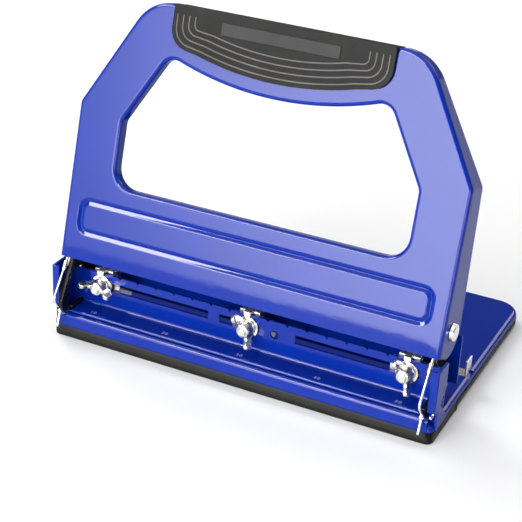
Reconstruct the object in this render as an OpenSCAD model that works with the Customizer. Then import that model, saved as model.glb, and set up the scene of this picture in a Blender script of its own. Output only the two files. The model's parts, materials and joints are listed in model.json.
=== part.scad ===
// Adjustable three hole punch with a tall lever handle.
// X runs across the punch, Y from the front rail to the back of the paper table, Z up.
// The origin is on the surface it stands on, under the middle of the whole punch.

/* [Base] */
// Width of the base
base_w = 268; // [260:1:280]
// Depth of the base, front to back
base_d = 180; // [170:1:200]
// Height of the paper table above the surface it stands on
deck_z = 11.7; // [11:0.1:13]
// Height of the black underbody's visible band
band_z = 7.8; // [7:0.1:8.5]

/* [Punching] */
// Distance between neighbouring holes, 4 1/4 inch on ring binder paper
hole_pitch = 108; // [107:0.5:109]
// Diameter of a punch pin
pin_d = 7.1; // [6:0.1:7.5]
// Height of the paper throat
throat_h = 6.9; // [6:0.1:7]
// Distance from the paper's edge to the middle of the holes
edge_margin = 9.5; // [9:0.1:10]

/* [Handle] */
// Width over the handle's side flanges
handle_w = 263; // [262:0.5:263.5]
// Length of the handle plate along its slope
handle_l = 173.3; // [165:0.1:180]
// Lean of the handle at rest, degrees
handle_lean = 15.2; // [12:0.1:18]
// Travel of the handle, degrees
handle_travel = 58; // [50:1:58]
// Sheet thickness of the handle
handle_t = 1.6; // [1.4:0.1:1.8]

/* [Frame] */
// Sheet thickness of the base and panel
sheet = 1.6; // [1.4:0.1:1.8]
// Height of the front panel's top edge
panel_z = 42; // [40:0.5:43]
// Height of the clamp screws
screw_z = 33.6; // [33:0.1:34]

/* [Hidden] */
$fn = 48;

// Depths, front to back. The spring legs stand out in front of the rail, so the middle of the
// whole punch is a little in front of the middle of the base.
leg_reach = 9.1;
front_y = (leg_reach - base_d) / 2;
back_y = front_y + base_d;
lip_y = front_y + 4.3;
panel_y = front_y + 20;
pin_y = panel_y + sheet + 3.0 + edge_margin - 0.1;
rear_plate_y = front_y + 43;
pivot_y = front_y + 24.2;
pivot_z = 66;
pivot_d = 6;
stop_y = pin_y - edge_margin;

// Heights of the frame
rail_z = 16.8;
shelf_z = 18.1;
rear_plate_z = [20, 54];
wall_z = [22, 50];

// Places of the plates that stand on edge at each end, measured from the middle
wall_x = [132.95, 134.4];
ear_x = [handle_w / 2 - handle_t, handle_w / 2];
bracket_x = [122.9, 125.9];
cam_x = [117.5, 122.4];

// Running clearance between a shaft and its hole
fit = 0.05;

// Handle plate, in its own flat frame: across, depth behind the front face, along the slope
shoulder_s = 102;
crown_x = 91.2;
pivot_s = 14.5;
pivot_depth = 15;
lobe_r = 17;
flange_top = 11;
open_low = 52.2;
open_x = 99.7;
open_shoulder = 94.9;
open_top = [73, 141.2];
arch_c = 340.3;
arch_r = 212;
grip_gap = 9.7;
grip_x = 72.8;

// Press gear: the cam is an involute, so the bar moves cam_r for each radian of the handle
cam_r = 9.4;
bar_top_z = 56;
bar_t = 3;
pin_top_z = bar_top_z - bar_t - 0.1;
throat_z = deck_z + throat_h;
pin_tip_z = throat_z - 0.2;
press_travel = cam_r * handle_travel * PI / 180;
cam_start = (pivot_z - bar_top_z) / cam_r;

heads = [["left", -hole_pitch], ["centre", 0], ["right", hole_pitch]];

// ---- shared shapes ----

// A polygon's corners, each [x, y, radius], turned into a list of points with round corners
function unit(v) = v / norm(v);
function arc_corner(a, b, c, r, n = 6) =
  let (u = unit(a - b), v = unit(c - b), half = acos(u * v) / 2,
       reach = r / tan(half), mid = b + unit(u + v) * r / sin(half),
       p = b + u * reach - mid, q = b + v * reach - mid,
       turn = 180 - 2 * half, side = sign(p[0] * q[1] - p[1] * q[0]))
  [for (i = [0:n]) let (t = side * turn * i / n)
    mid + [p[0] * cos(t) - p[1] * sin(t), p[0] * sin(t) + p[1] * cos(t)]];
function flat(list) = [for (part = list) for (p = part) p];
function rounded(pts) = flat([for (i = [0:len(pts) - 1])
  let (n = len(pts), a = pts[(i + n - 1) % n], b = pts[i], c = pts[(i + 1) % n])
  b[2] == 0 ? [[b[0], b[1]]]
            : arc_corner([a[0], a[1]], [b[0], b[1]], [c[0], c[1]], b[2])]);

// A plate in the YZ plane, from x = span[0] to x = span[1]
module side_plate(span, pts) {
  translate([span[0], 0, 0]) rotate([90, 0, 90]) linear_extrude(span[1] - span[0]) polygon(pts);
}

// A box from one corner to the other
module block(low, high) {
  translate(low) cube(high - low);
}

// A cylinder along X from x = span[0] to x = span[1]
module rod_x(span, y, z, d) {
  translate([span[0], y, z]) rotate([0, 90, 0]) cylinder(h = span[1] - span[0], d = d);
}

// A cylinder along Y from y = span[0] to y = span[1]
module rod_y(x, span, z, d) {
  translate([x, span[0], z]) rotate([-90, 0, 0]) cylinder(h = span[1] - span[0], d = d);
}

// The same thing at the right end, or mirrored at the left end
module at_end(side) {
  mirror([side < 0 ? 1 : 0, 0, 0]) children();
}

// Outline of the base with small round corners in front and large ones behind
module base_outline(inset = 0) {
  w = base_w / 2 - inset;
  y = [front_y + inset, back_y - inset];
  polygon(rounded([[-w, y[0], 5 - inset], [w, y[0], 5 - inset], [w, y[1], 16 - inset], [-w, y[1], 16 - inset]]));
}

// ---- base ----

die_window = [[-122.5, pin_y - 13], [122.5, pin_y + 10]];
guide_y = [front_y + 67.9, front_y + 77.7];
guide_in = 46;

module base_plate() {
  color("royalblue") difference() {
    union() {
      // Deck with a turned-down rim
      difference() {
        translate([0, 0, band_z]) linear_extrude(deck_z - band_z) base_outline();
        translate([0, 0, band_z - 1]) linear_extrude(deck_z - band_z + 1 - sheet) base_outline(sheet);
      }
      // Front rail that stands up along the shelf
      translate([0, 0, band_z]) linear_extrude(rail_z - band_z) intersection() {
        difference() {
          base_outline();
          base_outline(sheet);
        }
        translate([-base_w / 2 + 4, front_y - 1]) square([base_w - 8, 6]);
      }
      // Pressed channel for the paper guide, seen from below
      block([guide_in - sheet, guide_y[0] - sheet, deck_z - 3.2],
            [base_w / 2 - 4, guide_y[1] + sheet, deck_z - sheet + 0.01]);
    }
    // Window for the dies
    block([die_window[0][0], die_window[0][1], band_z], [die_window[1][0], die_window[1][1], deck_z + 1]);
    // Channel for the paper guide
    block([guide_in, guide_y[0], deck_z - sheet], [base_w / 2 + 1, guide_y[1], deck_z + 1]);
    // Steps in the rim that take the end walls
    for (side = [-1, 1]) at_end(side) {
      block([wall_x[0] - 0.05, front_y + 5, band_z - 1], [base_w / 2 + 1, wall_foot_y, deck_z + 1]);
    }
  }
}

tray_y = [front_y + 2, front_y + 44];
tray_ledge = 1.2;
tray_ledge_z = 3;
under_front_y = front_y + 47;
under_rear_z = 2.8;

// Black moulded underbody: a deep front channel for the chip tray and a shallow mat behind
module underbody() {
  color("dimgray") difference() {
    union() {
      linear_extrude(band_z) intersection() {
        base_outline();
        translate([-base_w / 2, front_y]) square([base_w, under_front_y - front_y]);
      }
      translate([0, 0, under_rear_z]) linear_extrude(band_z - under_rear_z) base_outline();
      translate([0, 0, band_z]) linear_extrude(deck_z - sheet - band_z) intersection() {
        base_outline(sheet + 0.02);
        translate([-base_w / 2, under_front_y - 1]) square([base_w, base_d]);
      }
    }
    // Tray channel, open below and at the right end, with a ledge along each side
    block([-base_w / 2 + 3, tray_y[0], tray_ledge_z], [base_w / 2 + 1, tray_y[1], deck_z]);
    block([-base_w / 2 + 3, tray_y[0] + tray_ledge, -1], [base_w / 2 + 1, tray_y[1] - tray_ledge, tray_ledge_z + 1]);
    // The ledges stop short of the tray's end plate
    block([base_w / 2 - 3.5, tray_y[0], -1], [base_w / 2 + 1, tray_y[1], tray_ledge_z + 1]);
    // Clearance under the pressed guide channel
    block([guide_in - sheet - 0.3, guide_y[0] - sheet - 0.3, deck_z - 3.3],
          [base_w / 2 + 1, guide_y[1] + sheet + 0.3, deck_z]);
    // Moulded recess pattern underneath
    for (x = [-88, 0, 88]) block([x - 38, under_front_y + 14, 0], [x + 38, back_y - 14, 5.6]);
  }
}

module rear_feet() {
  color("black") for (x = [-112, 112], y = [under_front_y + 12, back_y - 16])
    translate([x, y, 0]) cylinder(h = under_rear_z, d = 15);
}

// ---- front panel, rear plate and end plates ----

slots = [[-116, -28.8], [-20.8, 8], [32.8, 116]];
slot_h = 6;
panel_half = 122.6;
panel_end = 132.6;
notch_pitch = 13.5;
notch_list = [for (k = [-8:8]) k * notch_pitch];

module front_panel() {
  color("mediumblue") difference() {
    union() {
      block([-125, lip_y, deck_z], [125, lip_y + sheet, shelf_z]);
      block([-panel_half, lip_y, shelf_z - sheet], [panel_half, panel_y + sheet, shelf_z]);
      block([-panel_half, panel_y, shelf_z - sheet], [panel_half, panel_y + sheet, panel_z]);
      // Ends of the face that reach past the brackets
      block([-panel_end, panel_y, 20], [panel_end, panel_y + sheet, panel_z]);
      // Ends reach down to the deck outside the brackets
      for (side = [-1, 1]) at_end(side)
        block([bracket_x[1] + 0.2, panel_y, deck_z], [panel_end, panel_y + sheet, 20.01]);
    }
    // Slots that the clamp screws slide in
    for (s = slots) block([s[0], panel_y - 1, screw_z - slot_h / 2], [s[1], panel_y + 3, screw_z + slot_h / 2]);
    // Round hole beside the centre head
    rod_y(18.5, [panel_y - 1, panel_y + 3], 32.6, 6);
    // Index notches along the top edge
    for (x = notch_list) translate([x, panel_y - 1, panel_z]) rotate([-90, 0, 0])
      linear_extrude(4) polygon([[-1.5, 1.4], [0, -0.1], [1.5, 1.4], [1.5, -1], [-1.5, -1]]);
  }
}

module rear_plate() {
  color("mediumblue") difference() {
    block([-133, rear_plate_y, rear_plate_z[0]], [133, rear_plate_y + sheet, rear_plate_z[1]]);
    for (side = [-1, 1]) at_end(side)
      block([cam_x[0] - 4, rear_plate_y - 1, 50.5], [bracket_x[0] - 0.02, rear_plate_y + 3, 60]);
  }
}

wall_foot_y = front_y + 24;
wall_rear_y = front_y + 17;

module end_wall(side) {
  color("royalblue") at_end(side) {
    // Web with the paper gap cut into its lower rear edge
    side_plate(wall_x, [[front_y + 0.6, wall_z[0]], [front_y + 0.6, wall_z[1]], [wall_rear_y - 1, wall_z[1]],
      [wall_rear_y, wall_z[1] - 1], [wall_rear_y, 36], [wall_rear_y + 2, 33.5], [wall_rear_y - 8, 26],
      [wall_rear_y - 6, 22], [wall_foot_y - 2, deck_z], [wall_foot_y, deck_z], [wall_foot_y, band_z],
      [front_y + 5.05, band_z], [front_y + 5.05, wall_z[0]]]);
    // Front flange, turned inwards
    block([129.2, front_y + 0.6, wall_z[0]], [wall_x[0] + 0.01, front_y + 2.2, wall_z[1]]);
    // Foot that ties the web to the bracket, under the shelf
    block([bracket_x[1], front_y + 7, deck_z], [wall_x[0] + 0.01, front_y + 16, deck_z + sheet]);
  }
}

bracket_top_r = 10.5;

// Black steel plate that carries the handle's pivot
module side_bracket(side) {
  back = panel_y + sheet + 0.3;
  // Nose that hangs in front of the panel beside the return spring's leg, at the left end only
  nose = [[front_y + 7.4, 51], [front_y - 5.6, 29], [front_y - 5.6, 23], [front_y - 1.4, 19.2], [front_y + 1.6, 19.2],
    [front_y + 1.6, 27], [front_y + 4.5, 41], [front_y + 8.5, 45.5]];
  outline = concat([[front_y + 24, deck_z], [front_y + 24, 19.6], [rear_plate_y, 19.6], [rear_plate_y, 52],
    [pivot_y + 9.6, pivot_z + 4], [pivot_y - 9.6, pivot_z - 4]],
    side < 0 ? nose : [],
    // Leg behind the panel and foot under the shelf
    [[panel_y - 1.5, 45.5], [back, panel_z + 1.5], [back, 19.6], [front_y + 6.5, 19.6], [front_y + 6.5, deck_z]]);
  color([0.12, 0.12, 0.12]) at_end(side) difference() {
    union() {
      side_plate(bracket_x, outline);
      rod_x(bracket_x, pivot_y, pivot_z, 2 * bracket_top_r);
    }
    rod_x([bracket_x[0] - 1, bracket_x[1] + 1], pivot_y, pivot_z, pivot_d + 0.02);
    // Upright slot that guides the press bar's end
    block([bracket_x[0] - 1, pin_y - 5.6, bar_top_z - bar_t - press_travel - 0.8],
          [bracket_x[1] + 1, pin_y + 5.6, bar_top_z + 0.6]);
  }
}

module frame_rivets() {
  color("silver") for (side = [-1, 1]) at_end(side)
    for (y = [front_y + 9.3, front_y + 13.7]) translate([129.4, y, deck_z + sheet])
      cylinder(h = 1, d1 = 4.2, d2 = 3);
}

// Shouldered rivet: handle outside, bracket in the middle, cam inside
module pivot_rivet(side) {
  color("gainsboro") at_end(side) {
    rod_x([cam_x[0] - 0.4, ear_x[1] + 0.4], pivot_y, pivot_z, pivot_d);
    translate([ear_x[1] + 0.4, pivot_y, pivot_z]) rotate([0, 90, 0]) cylinder(h = 2.6, d1 = 11.6, d2 = 10.4);
    translate([cam_x[0] - 2.4, pivot_y, pivot_z]) rotate([0, 90, 0]) cylinder(h = 2, d1 = 8, d2 = 9);
  }
}

// ---- springs: round wire swept along a path ----

// Direction of the path at point i, and a round section square to it
function heading(path, i) =
  unit(path[min(i + 1, len(path) - 1)] - path[max(i - 1, 0)]);
function section(p, dir, across, r, sides) =
  let (u = unit(cross(dir, across)), v = cross(u, dir))
  [for (k = [0:sides - 1]) p + r * (u * cos(360 * k / sides) + v * sin(360 * k / sides))];

// A wire of diameter d along the path; across is never parallel to the path
module wire(path, d, across, sides = 8) {
  n = len(path);
  rings = flat([for (i = [0:n - 1]) section(path[i], heading(path, i), across, d / 2, sides)]);
  walls = [for (i = [0:n - 2], k = [0:sides - 1]) let (j = (k + 1) % sides)
    each [[i * sides + k, i * sides + j, (i + 1) * sides + j], [i * sides + k, (i + 1) * sides + j, (i + 1) * sides + k]]];
  caps = [[for (k = [sides - 1:-1:0]) k], [for (k = [0:sides - 1]) (n - 1) * sides + k]];
  polyhedron(points = rings, faces = concat(walls, caps));
}

// Return spring at each end: just over a turn round the rivet and a long bent leg
spring_wire = 1.6;
spring_r = 6.35;
spring_turns = 1.125;
leg_x = 126.9;
// Leg from the coil to the front of the base, as [y, z]
spring_leg = [[front_y + 11.9, 60], [front_y + 4.9, 50.2], [front_y - 2.3, 40.4], [front_y - 7.2, 33.6],
  [front_y - 8.3, 31.2], [front_y - 7.8, 28.6], [front_y - 5.9, 25.8], [front_y - 3, 22.6], [front_y - 2, 20.2],
  [front_y - 2.6, 17.6], [front_y - 4.2, 13.4], [front_y - 5.8, 9.2]];
leg_angle = 144.4;
coil_steps = 16;

module return_spring(side) {
  coil = [for (i = [spring_turns * coil_steps:-1:0]) let (a = leg_angle + 360 * i / coil_steps)
    [leg_x + spring_wire * 1.04 * i / coil_steps, pivot_y + spring_r * cos(a), pivot_z + spring_r * sin(a)]];
  leg = [for (p = spring_leg) [leg_x, p[0], p[1]]];
  color("gainsboro") at_end(side) wire(concat(coil, leg), spring_wire, [1, 0, 0]);
}

// ---- handle ----

// Puts a shape drawn in the handle's flat frame in its place at rest
module on_handle() {
  translate([0, pivot_y, pivot_z]) rotate([-handle_lean, 0, 0])
    translate([0, -pivot_depth, -pivot_s]) children();
}

// Extrudes a front-view outline from depth d0 to depth d1
module handle_sheet(d0, d1) {
  translate([0, d1, 0]) rotate([90, 0, 0]) linear_extrude(d1 - d0) children();
}

// Front outline, moved inwards by g; the bottom edge stays open when it is moved
module handle_outline(g = 0, low = 0) {
  slope = unit([crown_x - handle_w / 2, handle_l - shoulder_s]);
  // Shoulder and crown move along the sides they join
  shoulder = [handle_w / 2 - g, shoulder_s - g * (1 - slope[1]) / -slope[0]];
  crown = [crown_x - g * (1 + slope[0]) / slope[1], handle_l - g];
  side = [[handle_w / 2 - g, low, low == 0 ? 3 : 0], [shoulder[0], shoulder[1], 6], [crown[0], crown[1], 28 - g]];
  polygon(rounded([for (p = side) p, for (i = [2:-1:0]) [-side[i][0], side[i][1], side[i][2]]]));
}

// Hand opening, grown outwards by g
module opening_outline(g = 0) {
  arc = [for (k = [7:-1:-7]) let (x = k * 8.9) [x, arch_c - sqrt(arch_r * arch_r - x * x) + g, 0]];
  polygon(rounded(concat(
    [[-open_x - g, open_low - g, 14 + g], [open_x + g, open_low - g, 14 + g],
     [open_x + g, open_shoulder + g * 0.58, 8], [open_top[0] + g * 0.7, open_top[1] + g, 9 + g]],
    arc,
    [[-open_top[0] - g * 0.7, open_top[1] + g, 9 + g], [-open_x - g, open_shoulder + g * 0.58, 8]])));
}

// Side view of the flanges, as [depth, along the slope]
function flange_profile() = [[0, 0], [0, handle_l + 1], [flange_top, handle_l + 1],
  [pivot_depth + lobe_r, pivot_s + 2], [pivot_depth + lobe_r, pivot_s], [pivot_depth, pivot_s - lobe_r + 1]];

bead_x = 122.4;
bead_s = [16.4, 41.9];
bead_ring = 5.2;
bead_depth = 0.8;

module bead_outline(g) {
  r = 7 - g;
  x = bead_x - g;
  polygon(rounded([[-x, bead_s[0] + g, r], [x, bead_s[0] + g, r], [x, bead_s[1] - g, r], [-x, bead_s[1] - g, r]]));
}

module handle_plate() {
  color("slateblue") on_handle() difference() {
    union() {
      handle_sheet(0, handle_t) handle_outline();
      // Side, shoulder and top flanges, deeper towards the pivot
      intersection() {
        handle_sheet(0, 40) difference() {
          handle_outline();
          handle_outline(handle_t, -1);
        }
        side_plate([-140, 140], flange_profile());
      }
      // Round ears for the pivot
      for (side = [-1, 1]) at_end(side) rod_x(ear_x, pivot_depth, pivot_s, 2 * lobe_r);
      // Rim turned back round the hand opening
      handle_sheet(0, 8) difference() {
        opening_outline(handle_t);
        opening_outline();
      }
    }
    handle_sheet(-1, 20) opening_outline();
    // The ears' lower front stays inside the plate's face
    block([-140, -30, -30], [140, 0, 40]);
    rod_x([-140, 140], pivot_depth, pivot_s, pivot_d + 2 * fit);
    // Pressed ring round the lower band
    handle_sheet(-1, bead_depth) difference() {
      bead_outline(0);
      bead_outline(bead_ring);
    }
    // Seat of the grip along the top edge
    block([-grip_x - 0.1, -1, handle_l - 1.8], [grip_x + 0.1, 20, handle_l + 1]);
  }
}

// Front outline of the grip, moved inwards by g
module grip_outline(g = 0) {
  r = arch_r - grip_gap - g;
  low = [for (k = [-6:6]) let (x = k * 8.8) [x, arch_c - sqrt(r * r - x * x), 0]];
  x = grip_x - g;
  polygon(rounded(concat(low, [[x, 148.6 + g, 13 - g], [x, handle_l - g, 2], [-x, handle_l - g, 2], [-x, 148.6 + g, 13 - g]])));
}

grip_proud = 2.4;

module handle_grip() {
  color([0.2, 0.2, 0.2]) on_handle() {
    handle_sheet(-grip_proud, 0) grip_outline();
    // Cap over the top edge
    block([-grip_x, -grip_proud + 0.4, handle_l - 1.8], [grip_x, flange_top + 2, handle_l]);
    // Back of the grip, over the hollow of the bar
    block([-grip_x + 3, flange_top - 0.2, 150], [grip_x - 3, flange_top + 2, handle_l - 1.8]);
    // Web that fills the hollow behind the bar
    block([-grip_x + 8, handle_t, 152], [grip_x - 8, flange_top, handle_l - 1.9]);
  }
}

label_half = 39;
label_s = [160, 167.6];

module grip_label_plate() {
  color("dimgray") on_handle()
    handle_sheet(-grip_proud - 0.7, -grip_proud) polygon(rounded([[-label_half, label_s[0], 1],
      [label_half, label_s[0], 1], [label_half, label_s[1], 1], [-label_half, label_s[1], 1]]));
}

// Involute from the base circle, as [y, z] about the pivot at rest
function involute(phi) = let (t = (phi - cam_start) * 180 / PI, r = cam_r - 0.12)
  [r * cos(t) + r * phi * sin(t), r * sin(t) - r * phi * cos(t)];
cam_end = cam_start + handle_travel * PI / 180 + 0.12;

// Cam that pushes the bar, with an arm up to the handle's front plate
module cam_lever(side) {
  lobe = [for (i = [0:24]) involute(cam_end * i / 24)];
  color("darkgray") at_end(side) difference() {
    union() {
      translate([0, pivot_y, pivot_z]) side_plate(cam_x, concat([[0, 0]], lobe));
      rod_x(cam_x, pivot_y, pivot_z, 2 * (cam_r - 0.3));
      on_handle() side_plate(cam_x, [[pivot_depth - 9, pivot_s], [pivot_depth + 6, pivot_s + 6],
        [pivot_depth + 6, pivot_s + 12], [9, 49], [handle_t, 49], [handle_t, pivot_s + 3]]);
      // Foot riveted to the back of the handle plate
      on_handle() block([cam_x[0] - 9, handle_t, 19], [cam_x[0] + 0.01, handle_t + 2.4, 49]);
    }
    rod_x([cam_x[0] - 1, cam_x[1] + 1], pivot_y, pivot_z, pivot_d + 2 * fit);
  }
}

module cam_rivets() {
  color("silver") on_handle() for (side = [-1, 1]) at_end(side) for (s = [25, 43])
    translate([cam_x[0] - 4.6, handle_t + 2.4, s]) rotate([-90, 0, 0]) cylinder(h = 1.3, d1 = 5, d2 = 3.4);
}

// ---- press bar ----

bar_y = [pin_y - 8.8, pin_y + 8.2];
bar_lip = 6;

module press_bar() {
  color("silver") {
    block([-122.5, bar_y[0], bar_top_z - bar_t], [122.5, bar_y[1], bar_top_z]);
    // Lips that stiffen it
    for (y = [bar_y[0], bar_y[1] - 1.8])
      block([-115, y, bar_top_z - bar_lip], [115, y + 1.8, bar_top_z - bar_t + 0.01]);
    // Tongues that run in the brackets' slots
    for (side = [-1, 1]) at_end(side)
      block([122.4, pin_y - 5, bar_top_z - bar_t], [126.4, pin_y + 5, bar_top_z]);
  }
}

// ---- punch heads ----

head_w = 24;
head_web = [panel_y + sheet + 0.3, stop_y];
guide_top = 30;
head_top = 44;
die_low = 4.5;

// Frame of one head: web behind the panel, guide above the throat, die below it
module head_frame(x) {
  color("silver") translate([x, 0, 0]) difference() {
    union() {
      block([-head_w / 2, head_web[0], die_low], [head_w / 2, head_web[1], head_top - 3.5]);
      block([-7, head_web[0], head_top - 4], [7, head_web[1], head_top]);
      block([-9.5, head_web[1] - 0.01, throat_z], [9.5, pin_y + 7.8, guide_top]);
      block([-10.5, head_web[1] - 0.01, die_low], [10.5, pin_y + 8.6, deck_z]);
    }
    translate([0, pin_y, die_low - 1]) cylinder(h = 40, d = pin_d + 2 * fit);
    translate([0, pin_y, die_low - 1]) cylinder(h = deck_z - die_low - 1, d = 9);
    rod_y(0, [head_web[0] - 1, head_web[1] + 1], screw_z, 5.1);
  }
}

// Pointer bent over the panel's top edge, with a V tip in front of the washer
pointer_y = panel_y - 1.5;
pointer_t = 0.9;

module head_pointer(x) {
  color("gainsboro") translate([x, 0, 0]) {
    block([-2.4, pointer_y - pointer_t, head_top], [2.4, head_web[1], head_top + pointer_t]);
    translate([0, pointer_y, 0]) rotate([90, 0, 0]) linear_extrude(pointer_t)
      polygon([[-2.4, head_top + pointer_t], [2.4, head_top + pointer_t], [2.4, 42.6], [0, 40], [-2.4, 42.6]]);
  }
}

module clamp_screw(x) {
  color("gainsboro") {
    rod_y(x, [head_web[1], head_web[1] + 2.8], screw_z, 7);
    rod_y(x, [panel_y - 10.4, head_web[1]], screw_z, 5);
  }
}

washer_t = 1.4;

module clamp_washer(x) {
  color("gainsboro") difference() {
    rod_y(x, [panel_y - washer_t, panel_y - 0.02], screw_z, 15);
    rod_y(x, [panel_y - 3, panel_y + 1], screw_z, 5.1);
  }
}

nut_y = panel_y - washer_t - 0.3;
nut_h = 7;
// Turn of each wing nut as it was left, degrees
nut_turn = [170, 119, 116];

module wing_nut(x, turn) {
  wing = [[3.2, 0.4, 0], [10.2, 4.2, 1.6], [12.4, 8.2, 1.8], [12, 11.6, 1.2], [9.4, 11.6, 1.2], [7, 7.4, 2], [3.2, 5.6, 0]];
  color("gainsboro") difference() {
    union() {
      translate([x, nut_y, screw_z]) rotate([90, 0, 0]) cylinder(h = nut_h, d1 = 10.4, d2 = 8.4);
      for (a = [turn, turn + 180]) translate([x, nut_y, screw_z]) rotate([0, -a, 0]) rotate([90, 0, 0])
        rotate([90, 0, 0]) translate([0, 0, -1.3]) linear_extrude(2.6) polygon(rounded(wing));
    }
    rod_y(x, [nut_y - nut_h - 1, nut_y + 1], screw_z, 5.1);
  }
}

groove_z = 46.6;

module punch_pin(x) {
  color("lightgray") translate([x, pin_y, 0]) difference() {
    translate([0, 0, pin_tip_z]) cylinder(h = pin_top_z - pin_tip_z, d = pin_d);
    translate([0, 0, groove_z]) difference() {
      cylinder(h = 1.1, d = pin_d + 1);
      translate([0, 0, -1]) cylinder(h = 3, d = 5.6);
    }
    // Hollow ground V across the cutting end
    translate([-5, 0, pin_tip_z]) rotate([0, 90, 0]) cylinder(h = 10, d = 2.4, $fn = 4);
  }
}

module pin_clip(x) {
  color("dimgray") translate([x, pin_y, groove_z + 0.05]) difference() {
    cylinder(h = 1, d = 11.6);
    translate([0, 0, -1]) cylinder(h = 3, d = 5.7);
    block([-1.8, 2, -1], [1.8, 7, 3]);
  }
}

pin_spring_turns = 5;
pin_spring_wire = 1;
pin_spring_r = 4.7;
pin_spring_steps = 14;

// Compression spring between the guide and the clip
module pin_spring(x) {
  low = guide_top + pin_spring_wire / 2 + 0.1;
  rise = groove_z - pin_spring_wire / 2 - 0.1 - low;
  count = pin_spring_turns * pin_spring_steps;
  path = [for (i = [0:count]) let (a = 360 * i / pin_spring_steps)
    [x + pin_spring_r * cos(a), pin_y + pin_spring_r * sin(a), low + rise * i / count]];
  color("gainsboro") wire(path, pin_spring_wire, [0, 0, 1]);
}

// ---- chip tray and paper guide ----

tray_rim_z = 3.8;

// Shallow tray whose side rails slide on the channel's ledges
module chip_tray() {
  x = [-base_w / 2 + 3.5, base_w / 2 - 3];
  y = [tray_y[0] + tray_ledge + 0.3, tray_y[1] - tray_ledge - 0.3];
  color([0.15, 0.15, 0.15]) {
    difference() {
      union() {
        block([x[0], y[0], 0.5], [x[1], y[1], tray_rim_z]);
        block([x[0], tray_y[0] + 0.3, tray_ledge_z + 0.1], [x[1], tray_y[1] - 0.3, tray_rim_z]);
      }
      block([x[0] + 1.4, y[0] + 1.4, 1.7], [x[1] - 0.1, y[1] - 1.4, 5]);
    }
    // End plate that closes the channel and is pulled by hand
    block([x[1] - 0.2, tray_y[0] + 0.3, 0.5], [base_w / 2, tray_y[1] - 0.3, band_z - 0.3]);
  }
}

guide_flag_x = 130;

// Flat slide in the deck's channel, with an upturned flag that the paper's side meets
module paper_guide() {
  y = [guide_y[0] + 0.2, guide_y[1] - 0.2];
  color("gainsboro") {
    block([guide_in + 4, y[0], deck_z - sheet + 0.05], [guide_flag_x + 1.2, y[1], deck_z - 0.35]);
    block([guide_flag_x, y[0], deck_z - 0.36], [guide_flag_x + 1.2, y[1], 22.4]);
  }
}

module guide_keepers() {
  color("silver") for (x = [76, 104])
    block([x - 3, guide_y[0] - 4, deck_z], [x + 3, guide_y[1] + 4, deck_z + 0.7]);
}

base_plate();
underbody();
rear_feet();
front_panel();
rear_plate();
end_wall(-1);  // end_wall_left
end_wall(1);  // end_wall_right
side_bracket(-1);  // side_bracket_left
side_bracket(1);  // side_bracket_right
frame_rivets();
pivot_rivet(-1);  // pivot_rivet_left
pivot_rivet(1);  // pivot_rivet_right
return_spring(-1);  // return_spring_left
return_spring(1);  // return_spring_right
guide_keepers();
handle_plate();
handle_grip();
grip_label_plate();
cam_lever(-1);  // cam_lever_left
cam_lever(1);  // cam_lever_right
cam_rivets();
press_bar();
head_frame(heads[0][1]);  // head_frame_left
head_frame(heads[1][1]);  // head_frame_centre
head_frame(heads[2][1]);  // head_frame_right
head_pointer(heads[0][1]);  // head_pointer_left
head_pointer(heads[1][1]);  // head_pointer_centre
head_pointer(heads[2][1]);  // head_pointer_right
clamp_screw(heads[0][1]);  // clamp_screw_left
clamp_screw(heads[1][1]);  // clamp_screw_centre
clamp_screw(heads[2][1]);  // clamp_screw_right
clamp_washer(heads[0][1]);  // clamp_washer_left
clamp_washer(heads[1][1]);  // clamp_washer_centre
clamp_washer(heads[2][1]);  // clamp_washer_right
wing_nut(heads[0][1], nut_turn[0]);  // wing_nut_left
wing_nut(heads[1][1], nut_turn[1]);  // wing_nut_centre
wing_nut(heads[2][1], nut_turn[2]);  // wing_nut_right
punch_pin(heads[0][1]);  // punch_pin_left
punch_pin(heads[1][1]);  // punch_pin_centre
punch_pin(heads[2][1]);  // punch_pin_right
pin_clip(heads[0][1]);  // pin_clip_left
pin_clip(heads[1][1]);  // pin_clip_centre
pin_clip(heads[2][1]);  // pin_clip_right
pin_spring(heads[0][1]);  // pin_spring_left
pin_spring(heads[1][1]);  // pin_spring_centre
pin_spring(heads[2][1]);  // pin_spring_right
chip_tray();
paper_guide();
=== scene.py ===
"""Looks of an adjustable three hole punch: blue enamelled steel, a tall lever handle, plated fittings.

Lengths are in millimetres up to the point where a mesh is made; MM turns them into metres. The handle is
drawn in its own flat frame: x across, d behind its front face and s up its slope.
"""

import json
import math

import bmesh
import bpy
from mathutils import Matrix, Vector

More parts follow.
